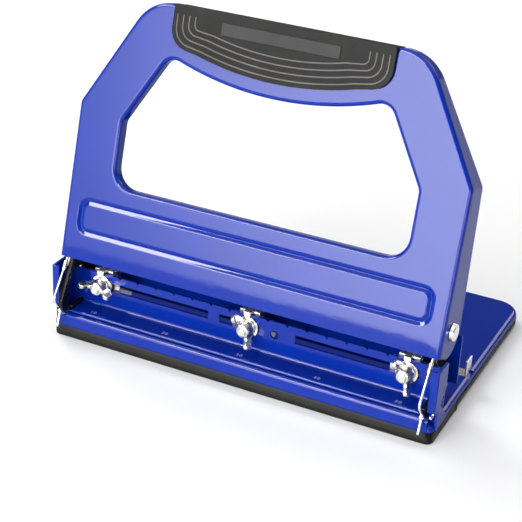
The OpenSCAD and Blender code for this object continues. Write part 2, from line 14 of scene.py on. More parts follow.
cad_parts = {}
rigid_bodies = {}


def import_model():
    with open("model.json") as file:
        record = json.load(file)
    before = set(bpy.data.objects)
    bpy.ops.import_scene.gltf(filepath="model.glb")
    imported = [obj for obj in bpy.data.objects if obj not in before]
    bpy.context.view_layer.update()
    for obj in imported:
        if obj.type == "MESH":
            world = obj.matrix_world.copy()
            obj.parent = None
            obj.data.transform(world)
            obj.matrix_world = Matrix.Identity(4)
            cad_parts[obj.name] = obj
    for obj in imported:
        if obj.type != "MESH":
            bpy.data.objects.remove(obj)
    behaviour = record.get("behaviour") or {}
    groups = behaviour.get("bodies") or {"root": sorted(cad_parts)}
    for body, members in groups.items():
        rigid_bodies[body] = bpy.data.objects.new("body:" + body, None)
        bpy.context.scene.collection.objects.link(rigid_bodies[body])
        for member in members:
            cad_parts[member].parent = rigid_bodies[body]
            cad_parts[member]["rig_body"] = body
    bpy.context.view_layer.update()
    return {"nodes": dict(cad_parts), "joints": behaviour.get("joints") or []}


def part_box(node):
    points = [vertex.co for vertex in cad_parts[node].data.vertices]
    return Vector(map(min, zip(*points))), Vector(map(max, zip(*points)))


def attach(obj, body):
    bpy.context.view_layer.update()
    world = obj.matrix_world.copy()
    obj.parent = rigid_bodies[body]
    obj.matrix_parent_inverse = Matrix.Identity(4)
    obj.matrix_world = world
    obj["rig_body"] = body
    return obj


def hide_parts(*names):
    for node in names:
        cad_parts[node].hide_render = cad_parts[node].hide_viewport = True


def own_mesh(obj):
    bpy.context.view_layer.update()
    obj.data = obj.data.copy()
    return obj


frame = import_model()

MM = 0.001
SIDES = ("left", "centre", "right")
ENDS = ("left", "right")


# ---- places taken from the frame ----

def box_mm(node):
    """Lowest and highest corner of a CAD node, in millimetres."""
    low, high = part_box(node)
    return low / MM, high / MM


swing = next(j for j in frame["joints"] if j["name"] == "handle_swing")
PIVOT_Y, PIVOT_Z = swing["pos_m"][1] / MM, swing["pos_m"][2] / MM
BASE_LOW, BASE_HIGH = box_mm("base_plate")
DECK_UNDER_Z = box_mm("underbody")[1].z
SHEET = 1.6
DECK_Z = DECK_UNDER_Z + SHEET
FRONT_Y = BASE_LOW.y
HANDLE_HALF = box_mm("handle_plate")[1].x
LEDGE_Z = 18.1          # top of the panel's shelf


# ---- materials ----

def shader(name):
    """A new material, its node tree and its Principled shader."""
    material = bpy.data.materials.new(name)
    material.use_nodes = True
    tree = material.node_tree
    return material, tree, tree.nodes["Principled BSDF"]


def noise(tree, scale, detail=3.0, stretch=(1, 1, 1)):
    """Noise in object space, stretched along the axes."""
    place = tree.nodes.new("ShaderNodeTexCoord")
    mapping = tree.nodes.new("ShaderNodeMapping")
    mapping.inputs["Scale"].default_value = stretch
    texture = tree.nodes.new("ShaderNodeTexNoise")
    texture.inputs["Scale"].default_value = scale
    texture.inputs["Detail"].default_value = detail
    tree.links.new(place.outputs["Object"], mapping.inputs["Vector"])
    tree.links.new(mapping.outputs["Vector"], texture.inputs["Vector"])
    return texture.outputs["Fac"]


def blend_colours(tree, factor, dark, light, target):
    """Feeds a socket with a colour between dark and light."""
    ramp = tree.nodes.new("ShaderNodeValToRGB")
    ramp.color_ramp.elements[0].position = 0.3
    ramp.color_ramp.elements[1].position = 0.7
    ramp.color_ramp.elements[0].color = (*dark, 1)
    ramp.color_ramp.elements[1].color = (*light, 1)
    tree.links.new(factor, ramp.inputs["Fac"])
    tree.links.new(ramp.outputs["Color"], target)


def spread(tree, factor, low, high, target):
    """Feeds a socket with a number between low and high."""
    remap = tree.nodes.new("ShaderNodeMapRange")
    remap.inputs["From Min"].default_value = 0.3
    remap.inputs["From Max"].default_value = 0.7
    remap.inputs["To Min"].default_value = low
    remap.inputs["To Max"].default_value = high
    tree.links.new(factor, remap.inputs["Value"])
    tree.links.new(remap.outputs["Result"], target)


def bump(tree, height, strength, distance, target):
    """Feeds a normal socket with the relief of a texture; distance is in metres."""
    node = tree.nodes.new("ShaderNodeBump")
    node.inputs["Strength"].default_value = strength
    node.inputs["Distance"].default_value = distance
    tree.links.new(height, node.inputs["Height"])
    tree.links.new(node.outputs["Normal"], target)


COAT = 0.55             # weight of the clear gloss layer on the enamel


def enamel(name, dark, light):
    """Gloss paint on sheet steel, with the faint waviness of a sprayed coat."""
    material, tree, bsdf = shader(name)
    blend_colours(tree, noise(tree, 30), dark, light, bsdf.inputs["Base Color"])
    spread(tree, noise(tree, 220), 0.3, 0.38, bsdf.inputs["Roughness"])
    bsdf.inputs["Specular IOR Level"].default_value = 0.0
    bsdf.inputs["Coat Weight"].default_value = COAT
    bsdf.inputs["Coat Roughness"].default_value = 0.03
    bump(tree, noise(tree, 420, 1.0), 0.1, 0.00004, bsdf.inputs["Coat Normal"])
    return material


def metal(name, dark, light, rough, grain, stretch=(1, 1, 1), strength=0.2):
    """Bare or plated metal with a grain that may be drawn out along an axis."""
    material, tree, bsdf = shader(name)
    bsdf.inputs["Metallic"].default_value = 1.0
    texture = noise(tree, grain, 4.0, stretch)
    blend_colours(tree, noise(tree, 90), dark, light, bsdf.inputs["Base Color"])
    spread(tree, texture, rough[0], rough[1], bsdf.inputs["Roughness"])
    bump(tree, texture, strength, 0.00005, bsdf.inputs["Normal"])
    return material


def plastic(name, dark, light, rough, grain, strength):
    """Moulded plastic or rubber with a fine spark-eroded grain."""
    material, tree, bsdf = shader(name)
    bsdf.inputs["Specular IOR Level"].default_value = 0.09
    blend_colours(tree, noise(tree, 60), dark, light, bsdf.inputs["Base Color"])
    texture = noise(tree, grain, 2.0)
    spread(tree, texture, rough[0], rough[1], bsdf.inputs["Roughness"])
    bump(tree, texture, strength, 0.00008, bsdf.inputs["Normal"])
    return material


BLUE = enamel("blue_enamel", (0.0001, 0.017, 0.24), (0.0003, 0.02, 0.27))
BLACK_ENAMEL = enamel("black_enamel", (0.004, 0.004, 0.004), (0.007, 0.007, 0.007))
UNDERBODY = plastic("black_plastic", (0.007, 0.007, 0.006), (0.011, 0.011, 0.009), (0.4, 0.5), 900, 0.25)
RUBBER = plastic("black_rubber", (0.01, 0.01, 0.01), (0.018, 0.018, 0.018), (0.6, 0.75), 700, 0.4)
GRIP = plastic("grip_plastic", (0.011, 0.011, 0.011), (0.016, 0.016, 0.015), (0.45, 0.58), 1400, 0.35)
# Plastic for the grip's raised lines, far lighter than the grip: its colour is a painted highlight on
# their edges
GRIP_RIB_HIGHLIGHT = plastic("grip_rib_painted_highlight", (0.13, 0.125, 0.11), (0.17, 0.16, 0.145), (0.3, 0.4), 900, 0.1)
LABEL = plastic("label_plastic", (0.034, 0.034, 0.034), (0.044, 0.044, 0.044), (0.4, 0.5), 1200, 0.2)
PLATED = metal("plated_steel", (0.66, 0.66, 0.64), (0.82, 0.81, 0.78), (0.16, 0.3), 500, (1, 1, 6))
ROLLED = metal("rolled_steel", (0.42, 0.42, 0.41), (0.58, 0.58, 0.56), (0.28, 0.42), 700, (0.15, 6, 6))
WIRE = metal("spring_wire", (0.74, 0.73, 0.7), (0.88, 0.87, 0.84), (0.14, 0.24), 900)
DARK_STEEL = metal("dark_steel", (0.1, 0.1, 0.1), (0.17, 0.165, 0.16), (0.3, 0.45), 600)
CAST = metal("cast_metal", (0.5, 0.49, 0.45), (0.72, 0.7, 0.66), (0.2, 0.34), 260, (1, 1, 1), 0.5)
INK = plastic("white_ink", (0.3, 0.33, 0.6), (0.36, 0.39, 0.66), (0.5, 0.6), 2000, 0.05)


# ---- mesh helpers ----

def finish_piece(piece, body, material, nodes=()):
    """Gives a piece its material, body and slot, and hides the CAD nodes that it stands for."""
    piece.data.materials.clear()
    piece.data.materials.append(material)
    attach(piece, body)
    if nodes:
        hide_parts(*nodes)


def object_from(bm, name, flat=False):
    """Turns a bmesh in millimetres into a smooth-shaded object in metres."""
    bmesh.ops.scale(bm, vec=(MM, MM, MM), verts=bm.verts)
    mesh = bpy.data.meshes.new(name)
    bm.to_mesh(mesh)
    bm.free()
    for face in mesh.polygons:
        face.use_smooth = not flat
    piece = bpy.data.objects.new(name, mesh)
    bpy.context.scene.collection.objects.link(piece)
    return piece


def weigh_normals(piece):
    """Keeps flat faces flat beside their rounded edges."""
    modifier = piece.modifiers.new("flat_faces", "WEIGHTED_NORMAL")
    modifier.mode = "FACE_AREA"
    modifier.weight = 90
    modifier.keep_sharp = True


def round_cut_edges(piece, width, segments):
    """Rounds the sheared edges of a sheet-steel piece."""
    modifier = piece.modifiers.new("cut_edges", "BEVEL")
    modifier.width = width * MM
    modifier.segments = segments
    modifier.limit_method = "ANGLE"
    modifier.angle_limit = math.radians(50)


def soften(node, material, rules):
    """A copy of a CAD node with its flat faces whole and its edges rounded.

    Each rule is (test, width, segments): test takes an edge's middle point and says if the rule is for it.
    The first rule that fits an edge counts, and an edge with no rule stays sharp.
    """
    source = frame["nodes"][node]
    bm = bmesh.new()
    bm.from_mesh(source.data)
    bmesh.ops.scale(bm, vec=(1 / MM, 1 / MM, 1 / MM), verts=bm.verts)
    bmesh.ops.remove_doubles(bm, verts=bm.verts, dist=0.002)
    bmesh.ops.dissolve_limit(bm, angle_limit=math.radians(1.5), verts=bm.verts, edges=bm.edges)
    for test, width, segments in rules:
        chosen = []
        for edge in bm.edges:
            if edge.tag or len(edge.link_faces) != 2 or edge.calc_face_angle(0) < math.radians(30):
                continue
            middle = (edge.verts[0].co + edge.verts[1].co) / 2
            if test(middle):
                chosen.append(edge)
        if not chosen:
            continue
        made = bmesh.ops.bevel(bm, geom=chosen, offset=width, offset_type="OFFSET", segments=segments,
                               profile=0.5, affect="EDGES", clamp_overlap=True)
        for face in made["faces"]:
            for edge in face.edges:
                edge.tag = True
    piece = object_from(bm, node + "_shell")
    weigh_normals(piece)
    finish_piece(piece, source["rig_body"], material, [node])


def everywhere(middle):
    """The rule for all edges that are left."""
    return True


def tube(bm, path, radius, sides=12, up=Vector((1, 0, 0))):
    """Sweeps a round section along a path; radius may be a list with one value for each point."""
    radii = radius if isinstance(radius, list) else [radius] * len(path)
    rings = []
    for i, point in enumerate(path):
        ahead = (path[min(i + 1, len(path) - 1)] - path[max(i - 1, 0)]).normalized()
        side = ahead.cross(up).normalized()
        top = side.cross(ahead)
        ring = []
        for k in range(sides):
            a = 2 * math.pi * k / sides
            ring.append(bm.verts.new(point + radii[i] * (side * math.cos(a) + top * math.sin(a))))
        rings.append(ring)
    for one, two in zip(rings, rings[1:]):
        for k in range(sides):
            j = (k + 1) % sides
            bm.faces.new((one[k], one[j], two[j], two[k]))
    bm.faces.new(list(reversed(rings[0])))
    bm.faces.new(rings[-1])


def spline(points, steps=6):
    """Catmull-Rom curve through the points."""
    ends = [points[0] * 2 - points[1], *points, points[-1] * 2 - points[-2]]
    path = []
    for a, b, c, d in zip(ends, ends[1:], ends[2:], ends[3:]):
        for k in range(steps):
            t = k / steps
            path.append(0.5 * (2 * b + (c - a) * t + (2 * a - 5 * b + 4 * c - d) * t ** 2
                               + (3 * b - a - 3 * c + d) * t ** 3))
    path.append(points[-1])
    return path


def mark_sharp(piece, angle=35):
    """Keeps the edges steeper than the angle sharp in smooth shading."""
    bm = bmesh.new()
    bm.from_mesh(piece.data)
    for face in bm.faces:
        face.smooth = True
    for edge in bm.edges:
        edge.smooth = len(edge.link_faces) == 2 and edge.calc_face_angle(0) < math.radians(angle)
    bm.to_mesh(piece.data)
    bm.free()


def carve(piece, boxes):
    """Cuts boxes, each (low corner, high corner) in millimetres, out of a closed piece."""
    bm = bmesh.new()
    for low, high in boxes:
        made = bmesh.ops.create_cube(bm, size=1.0)
        for vert in made["verts"]:
            vert.co = Vector([b if c > 0 else a for a, b, c in zip(low, high, vert.co)])
    cutter = object_from(bm, "cutter", flat=True)
    modifier = piece.modifiers.new("cut", "BOOLEAN")
    modifier.operation = "DIFFERENCE"
    modifier.solver = "EXACT"
    modifier.object = cutter
    bpy.context.view_layer.update()
    mesh = bpy.data.meshes.new_from_object(piece.evaluated_get(bpy.context.evaluated_depsgraph_get()))
    piece.modifiers.clear()
    piece.data = mesh
    bpy.data.objects.remove(cutter)


def arc_points(centre, radius, start, end, steps=8):
    """Points of an arc in a plane, its angles in degrees."""
    angles = [math.radians(start + (end - start) * k / steps) for k in range(steps + 1)]
    return [(centre[0] + radius * math.cos(a), centre[1] + radius * math.sin(a)) for a in angles]


def extrude_x(bm, profile, x0, x1):
    """A closed bar along X whose section is a list of (y, z) points."""
    ends = [[bm.verts.new((x, y, z)) for y, z in profile] for x in (x0, x1)]
    ring_faces(bm, [list(t) for t in zip(*ends)], closed=True)
    for end in ends:
        bm.faces.new(end)
    bmesh.ops.recalc_face_normals(bm, faces=bm.faces)


# ---- outlines in the plane of the handle ----

def rounded(corners, closed=True, steps=8):
    """Points of an outline whose corners are (x, y, radius)."""
    points = []
    count = len(corners)
    for i, (x, y, r) in enumerate(corners):
        here = Vector((x, y))
        if r == 0 or (not closed and i in (0, count - 1)):
            points.append(here)
            continue
        before = Vector(corners[i - 1][:2])
        after = Vector(corners[(i + 1) % count][:2])
        u, v = (before - here).normalized(), (after - here).normalized()
        half = u.angle(v) / 2
        centre = here + (u + v).normalized() * r / math.sin(half)
        start = here + u * r / math.tan(half) - centre
        end = here + v * r / math.tan(half) - centre
        turn = start.angle_signed(end)
        for k in range(steps + 1):
            points.append(centre + Matrix.Rotation(-turn * k / steps, 2) @ start)
    return points


def outward(points, closed=True):
    """Outward unit directions of a counterclockwise outline, lengthened at its corners."""
    found = []
    count = len(points)
    for i, here in enumerate(points):
        normals = []
        if closed or i > 0:
            step = (here - points[i - 1]).normalized()
            normals.append(Vector((step.y, -step.x)))
        if closed or i < count - 1:
            step = (points[(i + 1) % count] - here).normalized()
            normals.append(Vector((step.y, -step.x)))
        total = sum(normals, Vector((0, 0))) / len(normals)
        found.append(total / total.length_squared)
    return found


def cut_up(points, length):
    """Adds points so that no step is longer than length."""
    result = [points[0]]
    for here in points[1:]:
        last = result[-1].copy()
        count = max(1, math.ceil((here - last).length / length))
        result += [last.lerp(here, k / count) for k in range(1, count + 1)]
    return result


# ---- handle ----

LEAN = math.radians(15.2)
PIVOT_S = 14.5          # the pivot's place up the slope and behind the front face
PIVOT_DEPTH = 15.0
HANDLE_L = 173.3
LOBE_R = 17.0           # round ears of the flanges
FLANGE_TOP = 11.0       # depth of the flange at the top
SHOULDER_S = 102.0      # where the sides start to lean in, and how far out they end
CROWN_X = 91.2
BEND_R = 2.4            # outside radius of the sheet's bends
BEND_STEPS = 7
GRIP_X = 72.8
ARCH_CENTRE = 340.3     # arc of the hand opening's upper edge
ARCH_R = 212.0
BEAD_X = 122.4          # pressed groove: half length, lower and upper edge, width and depth
BEAD_S = (16.4, 41.9)
BEAD_RING = 5.2
BEAD_DEPTH = 1.5
RIM_DEPTH = 8.0         # how far the hand opening's rim turns back
GRIP_SEAT = 1.9         # step down of the sheet under the grip
EAR_TOP = 30.0          # height up to which the flanges follow the ears


def on_handle(x, d, s):
    """A point of the handle's flat frame, in the row frame and in millimetres."""
    depth, height = d - PIVOT_DEPTH, s - PIVOT_S
    y = PIVOT_Y + depth * math.cos(LEAN) + height * math.sin(LEAN)
    z = PIVOT_Z - depth * math.sin(LEAN) + height * math.cos(LEAN)
    return Vector((x, y, z))


def flange_depth(s):
    """How far the side flange reaches back at the height s."""
    share = max(0.0, s - PIVOT_S - 2) / (HANDLE_L + 1 - PIVOT_S - 2)
    return PIVOT_DEPTH + LOBE_R - (PIVOT_DEPTH + LOBE_R - FLANGE_TOP) * share


def ear_bottom(d):
    """Lower edge of the flange's round ear at the depth d."""
    reach = LOBE_R ** 2 - (d - PIVOT_DEPTH) ** 2
    circle = PIVOT_S - math.sqrt(max(0.0, reach))
    return min(-0.1 * d, circle) if reach > 0 and d < PIVOT_DEPTH else circle


def ring_faces(bm, rows, closed):
    """Joins neighbouring rows of vertices with four-sided faces."""
    pairs = list(zip(rows, rows[1:] + rows[:1])) if closed else list(zip(rows, rows[1:]))
    for one, two in pairs:
        for a, b, c, d in zip(one, two, two[1:], one[1:]):
            bm.faces.new((a, b, c, d))


def loop_edges(bm, loop, closed=True):
    """The edges along a loop of vertices, made where they are missing."""
    pairs = zip(loop, loop[1:] + loop[:1]) if closed else zip(loop, loop[1:])
    return [bm.edges.get(p) or bm.edges.new(p) for p in pairs]


def handle_outline():
    """The handle's outer edge from its lower right corner, over the top, to the lower left corner."""
    right = [(HANDLE_HALF, 0, 0), (HANDLE_HALF, SHOULDER_S, 6), (CROWN_X, HANDLE_L, 28)]
    left = [(-x, s, r) for x, s, r in reversed(right)]
    return cut_up(rounded(right + left, closed=False, steps=12), 5.0)


def opening_outline():
    """The hand opening, counterclockwise: straight below, bulging down under the grip bar above."""
    arch_x = 62.3
    arc = [(x, ARCH_CENTRE - math.sqrt(ARCH_R ** 2 - x ** 2), 0) for x in
           (arch_x * (1 - k / 10) for k in range(21))]
    return rounded([(-99.7, 52.2, 14), (99.7, 52.2, 14), (99.7, 94.9, 8), (73, 141.2, 9)] + arc
                   + [(-73, 141.2, 9), (-99.7, 94.9, 8)])


def bead_outline(inset):
    """One loop of the pressed groove, moved inwards."""
    low, high, x, r = BEAD_S[0] + inset, BEAD_S[1] - inset, BEAD_X - inset, 8.2 - inset
    return rounded([(-x, low, r), (x, low, r), (x, high, r), (-x, high, r)])


def bend_points(point, out):
    """Places across a bend from the front face to the turned-back sheet, as (x, depth, s)."""
    found = [(point.x - out.x * (BEND_R + 0.5), 0, point.y - out.y * (BEND_R + 0.5))]
    for k in range(BEND_STEPS + 1):
        a = math.pi / 2 * k / BEND_STEPS
        inwards, depth = BEND_R * (1 - math.sin(a)), BEND_R * (1 - math.cos(a))
        found.append((point.x - out.x * inwards, depth, point.y - out.y * inwards))
    return found


def make_handle_plate():
    """Folded sheet with side flanges, a hand opening with a turned-back rim and a pressed groove."""
    bm = bmesh.new()

    def vert(x, d, s):
        return bm.verts.new(on_handle(x, d, s))

    # Outer bend and flange; the top steps down under the grip
    outline = handle_outline()
    ear_depths = [PIVOT_DEPTH + LOBE_R * math.cos(math.radians(a)) for a in range(120, -1, -12)]
    shares = [(d - BEND_R) / (PIVOT_DEPTH + LOBE_R - BEND_R) for d in [BEND_R, 4.2, *ear_depths]]
    rows = []
    for point, out in zip(outline, outward(outline, closed=False)):
        x, s = point
        seat = GRIP_SEAT if abs(x) < GRIP_X + 0.1 and s > HANDLE_L - 1 else 0.0
        row = [vert(px, d, ps - seat) for px, d, ps in bend_points(point, out)]
        on_ear = abs(x) > HANDLE_HALF - 0.01 and s < EAR_TOP
        rise = min(1.0, s / EAR_TOP)
        back_s = PIVOT_S + (EAR_TOP - PIVOT_S) * rise if on_ear else s
        back = flange_depth(back_s)
        for share in shares[1:]:
            d = BEND_R + share * (back - BEND_R)
            if on_ear:
                low = ear_bottom(BEND_R + share * (PIVOT_DEPTH + LOBE_R - BEND_R))
                row.append(vert(x, d, low + (EAR_TOP - low) * rise))
            else:
                row.append(vert(x, d, s - seat))
        rows.append(row)
    ring_faces(bm, rows, closed=False)

    # Rim of the hand opening
    opening = opening_outline()
    rim_rows = []
    for point, out in zip(opening, outward(opening)):
        row = [vert(*place) for place in bend_points(point, -out)]
        row.append(vert(point.x, RIM_DEPTH, point.y))
        rim_rows.append(list(reversed(row)))
    ring_faces(bm, rim_rows, closed=True)

    # Pressed groove: (share of its width, share of its depth)
    groove = [(-0.07, 0), (0, 0), (0.06, 0.06), (0.12, 0.21), (0.46, 0.94), (0.5, 1), (0.54, 0.94),
              (0.88, 0.21), (0.94, 0.06), (1, 0), (1.07, 0)]
    loops = []
    for across, depth in groove:
        ring = [vert(p.x, BEAD_DEPTH * depth, p.y) for p in bead_outline(BEAD_RING * across)]
        loops.append(ring)
    ring_faces(bm, [list(t) for t in zip(*loops)], closed=True)

    # Flat front between them
    edge = [row[0] for row in rows]
    outside = loop_edges(bm, edge, closed=False)
    corner_right, corner_left = edge[0], edge[-1]
    outside.append(bm.edges.new((corner_left, corner_right)))
    face_edges = outside + loop_edges(bm, [row[-1] for row in rim_rows]) + loop_edges(bm, loops[0])
    bmesh.ops.triangle_fill(bm, use_beauty=True, use_dissolve=False, edges=face_edges)
    bmesh.ops.triangle_fill(bm, use_beauty=True, use_dissolve=False, edges=loop_edges(bm, loops[-1]))
    bmesh.ops.remove_doubles(bm, verts=bm.verts, dist=0.001)
    bmesh.ops.recalc_face_normals(bm, faces=bm.faces)
    front = max(bm.faces, key=lambda f: f.calc_area())
    if front.normal.y > 0:
        bmesh.ops.reverse_faces(bm, faces=bm.faces)
    piece = object_from(bm, "handle_plate_shell")
    wall = piece.modifiers.new("sheet", "SOLIDIFY")
    wall.thickness = SHEET * MM
    wall.offset = -1
    wall.use_even_offset = True
    wall.use_quality_normals = True
    round_cut_edges(piece, 0.3, 2)
    weigh_normals(piece)
    finish_piece(piece, "handle", BLUE, ["handle_plate"])


def make_grip():
    """Grip with crowned edges, its blank label plate and the raised lines moulded on it, the lines
    coloured light as a painted highlight.
    """
    def in_flat(middle):
        """Depth and slope height of a point."""
        y, z = middle.y - PIVOT_Y, middle.z - PIVOT_Z
        depth = y * math.cos(LEAN) - z * math.sin(LEAN) + PIVOT_DEPTH
        return depth, y * math.sin(LEAN) + z * math.cos(LEAN) + PIVOT_S

    soften("handle_grip", GRIP, [
        (lambda m: in_flat(m)[0] < -2.2, 1.0, 4),
        (lambda m: in_flat(m)[1] > HANDLE_L - 0.4, 1.4, 4),
        (lambda m: in_flat(m)[0] > FLANGE_TOP + 1, 1.2, 4),
    ])
    soften("grip_label_plate", LABEL, [(lambda m: in_flat(m)[0] < -3.0, 0.35, 3)])

    # Raised lines that follow the grip's lower edge, in a light colour that is a painted highlight along
    # their edges
    bm = bmesh.new()
    face_depth = -2.4
    top_s = 168.0
    for inset in (3.3, 7.4, 11.5, 15.6):
        r = ARCH_R - 9.7 - inset
        side_x, low_s = GRIP_X - inset, 148.6 + inset * 0.75
        low = [(x, ARCH_CENTRE - math.sqrt(r * r - x * x), 0) for x in
               ((52.8 - inset * 0.6) * (k / 10 - 1) for k in range(21))]
        corner = max(3.0, 13 - inset * 0.6)
        line = rounded([(-side_x, top_s, 0), (-side_x, low_s, corner), *low, (side_x, low_s, corner),
                        (side_x, top_s, 0)], closed=False)
        path = [on_handle(p.x, face_depth - 0.1, p.y) for p in cut_up(line, 2.5)]
        tube(bm, path, 0.42, 8, up=Vector((0, math.cos(LEAN), -math.sin(LEAN))))
    ribs = object_from(bm, "grip_ribs")
    finish_piece(ribs, "handle", GRIP_RIB_HIGHLIGHT)


# ---- base, panel and end plates ----

RIM_R = 3.5             # rolled rim of the deck
RAIL_TOP = BASE_HIGH.z
RAIL_HALF = 130.0
WINDOW_HALF = 122.5     # opening in the deck under the punch heads
WALL_INSIDE = 132.9     # inner faces of the end walls
CHANNEL_X = 46          # where the paper guide's channel begins


def base_ring(bm, inset, z):
    """One loop of the base's outline, moved inwards, at the height z."""
    x, front, back = BASE_HIGH.x - inset, BASE_LOW.y + inset, BASE_HIGH.y - inset
    small, large = 5.2 - inset, 16 - inset
    outline = rounded([(-x, front, small), (x, front, small), (x, back, large), (-x, back, large)])
    return [bm.verts.new((p.x, p.y, z)) for p in outline]


def make_base_plate():
    """Deck with a rolled rim, cut out for the dies, the guide's channel and the end walls' feet."""
    bm = bmesh.new()
    band_z = BASE_LOW.z
    rings = [(SHEET + 1.2, DECK_UNDER_Z), (SHEET, DECK_UNDER_Z - 1.2), (SHEET, band_z), (0.25, band_z),
             (0, band_z + 0.25)]
    rings += [(RIM_R - r, z) for r, z in arc_points((0, DECK_Z - RIM_R), RIM_R, 0, 90, 10)]
    loops = [base_ring(bm, inset, z) for inset, z in rings]
    ring_faces(bm, [list(t) for t in zip(*loops)], closed=True)
    bm.faces.new(loops[0])
    bm.faces.new(loops[-1])
    bmesh.ops.recalc_face_normals(bm, faces=bm.faces)
    plate = object_from(bm, "base_plate_shell")
    dies_low, dies_high = box_mm("head_frame_left")
    guide_low, guide_high = box_mm("paper_guide")
    boxes = [((-WINDOW_HALF, dies_low.y - 0.9, band_z), (WINDOW_HALF, dies_high.y + 1.4, DECK_Z + 1)),
             ((CHANNEL_X, guide_low.y - 0.2, DECK_UNDER_Z + 0.02),
              (BASE_HIGH.x + 1, guide_high.y + 0.2, DECK_Z + 1))]
    for side, end in zip((-1, 1), ENDS):
        wall_back = box_mm("end_wall_" + end)[1].y
        near, far = sorted((side * WALL_INSIDE, side * (BASE_HIGH.x + 1)))
        boxes.append(((near, FRONT_Y + 5, band_z - 1), (far, wall_back, DECK_Z + 1)))
    carve(plate, boxes)
    mark_sharp(plate)
    weigh_normals(plate)
    finish_piece(plate, "frame", BLUE, ["base_plate"])

    # Rail folded back along its top, and the channel pressed for the paper guide
    bm = bmesh.new()
    fold = arc_points((FRONT_Y + 2.5, RAIL_TOP - 2.5), 2.5, 180, 90, 8)
    nose = arc_points((FRONT_Y + 2.5, RAIL_TOP - 0.8), 0.8, 90, -60, 6)
    profile = [(FRONT_Y, band_z + 0.3), *fold, *nose[1:], (FRONT_Y + 1.7, RAIL_TOP - 2.6),
               (FRONT_Y + 1.5, band_z + 0.3)]
    extrude_x(bm, profile, -RAIL_HALF, RAIL_HALF)
    rail = object_from(bm, "front_rail")
    mark_sharp(rail)
    weigh_normals(rail)
    finish_piece(rail, "frame", BLUE)
    bm = bmesh.new()
    y0, y1, z1 = guide_low.y - 0.2, guide_high.y + 0.2, DECK_UNDER_Z
    trough = [(y0 - SHEET, z1), (y0 - SHEET, z1 - SHEET), (y1 + SHEET, z1 - SHEET), (y1 + SHEET, z1)]
    extrude_x(bm, trough, CHANNEL_X - SHEET, BASE_HIGH.x - 4)
    pressed = object_from(bm, "guide_channel", flat=True)
    finish_piece(pressed, "frame", BLUE)


def make_base():
    """Everything under the punch heads."""
    make_base_plate()
    soften("underbody", UNDERBODY, [
        (lambda m: m.z < 0.1 or abs(m.z - 2.8) < 0.1, 0.9, 3),
    ])
    soften("chip_tray", UNDERBODY, [(everywhere, 0.25, 2)])
    soften("rear_feet", RUBBER, [(lambda m: m.z < 0.1, 0.5, 3)])


LIP_R = 1.3             # bends in front of the shelf and behind it
BEND_IN_R = 1.7
SHELF_HALF = 122.6
LIP_HALF = 125.0
LEG_X = 126.2           # where the panel's ends start to reach down to the deck
EAR_Z = 20.2
SLOTS = ((-116, -28.8), (-20.8, 8), (32.8, 116))
SLOT_HALF = 3.0
NOTCH_PITCH = 13.5
HOLE = (18.5, 32.6, 3.0)
FOLD_X = -129.6         # fold at the panel's left end: its inner face, lower edge and length
FOLD_FOOT = 14.6
FOLD_L = 12.8


def make_front_panel():
    """Sheet bent into a lip, a shelf and an upright face with slots, a hole and notches along its top."""
    low, high = box_mm("front_panel")
    face_y, top_z = high.y - SHEET, high.z
    screw_z = sum(v.z for v in box_mm("clamp_washer_left")) / 2
    bm = bmesh.new()
    lip = arc_points((low.y + LIP_R, LEDGE_Z - LIP_R), LIP_R, 180, 90)
    bend = arc_points((face_y - BEND_IN_R, LEDGE_Z + BEND_IN_R), BEND_IN_R, -90, 0)
    path = [(low.y, DECK_Z), *lip, *bend]
    rows = []
    for i, (y, z) in enumerate(path):
        half = LIP_HALF if i < 6 and z < LEDGE_Z - 0.6 else SHELF_HALF
        rows.append([bm.verts.new((side * half, y, z)) for side in (-1, 1)])
    ring_faces(bm, rows, closed=False)

    def loop_at(points):
        return [bm.verts.new((x, face_y, z)) for x, z in points]

    half = high.x
    outline = [(SHELF_HALF, EAR_Z), (LEG_X, EAR_Z), (LEG_X, DECK_Z), (half, DECK_Z), (half, top_z)]
    for k in range(8, -9, -1):
        x = k * NOTCH_PITCH
        outline += [(x + 1.3, top_z), (x + 0.2, top_z - 1.7), (x - 1.3, top_z)]
    outline += [(-half, top_z), (-half, DECK_Z), (-LEG_X, DECK_Z), (-LEG_X, EAR_Z), (-SHELF_HALF, EAR_Z)]
    edge = loop_edges(bm, [rows[-1][0], rows[-1][1]] + loop_at(outline))
    for x0, x1 in SLOTS:
        z0, z1 = screw_z - SLOT_HALF, screw_z + SLOT_HALF
        slot = rounded([(x0, z0, 0.5), (x1, z0, 0.5), (x1, z1, 0.5), (x0, z1, 0.5)], steps=3)
        edge += loop_edges(bm, loop_at(slot))
    edge += loop_edges(bm, loop_at(arc_points(HOLE[:2], HOLE[2], 0, 345, 23)))
    bmesh.ops.triangle_fill(bm, use_beauty=True, use_dissolve=False, edges=edge)
    bmesh.ops.recalc_face_normals(bm, faces=bm.faces)
    if max(bm.faces, key=lambda f: f.calc_area()).normal.dot(Vector((0, -1, 1))) < 0:
        bmesh.ops.reverse_faces(bm, faces=bm.faces)
    panel = object_from(bm, "front_panel_shell")
    wall = panel.modifiers.new("sheet", "SOLIDIFY")
    wall.thickness = SHEET * MM
    wall.offset = -1
    wall.use_even_offset = True
    round_cut_edges(panel, 0.35, 3)
    weigh_normals(panel)
    finish_piece(panel, "frame", BLUE, ["front_panel"])

    # Left end folded forwards, between the bracket's nose and the end wall
    bm = bmesh.new()
    front, back = face_y - FOLD_L, face_y + 0.3
    fold = rounded([(front, FOLD_FOOT, 1), (back, FOLD_FOOT, 0), (back, top_z, 0), (front + 3, top_z, 3),
                    (front, top_z - 8, 4)], steps=4)
    extrude_x(bm, fold, FOLD_X - SHEET, FOLD_X)
    flange = object_from(bm, "panel_fold_left")
    mark_sharp(flange)
    round_cut_edges(flange, 0.35, 3)
    weigh_normals(flange)
    finish_piece(flange, "frame", BLUE)


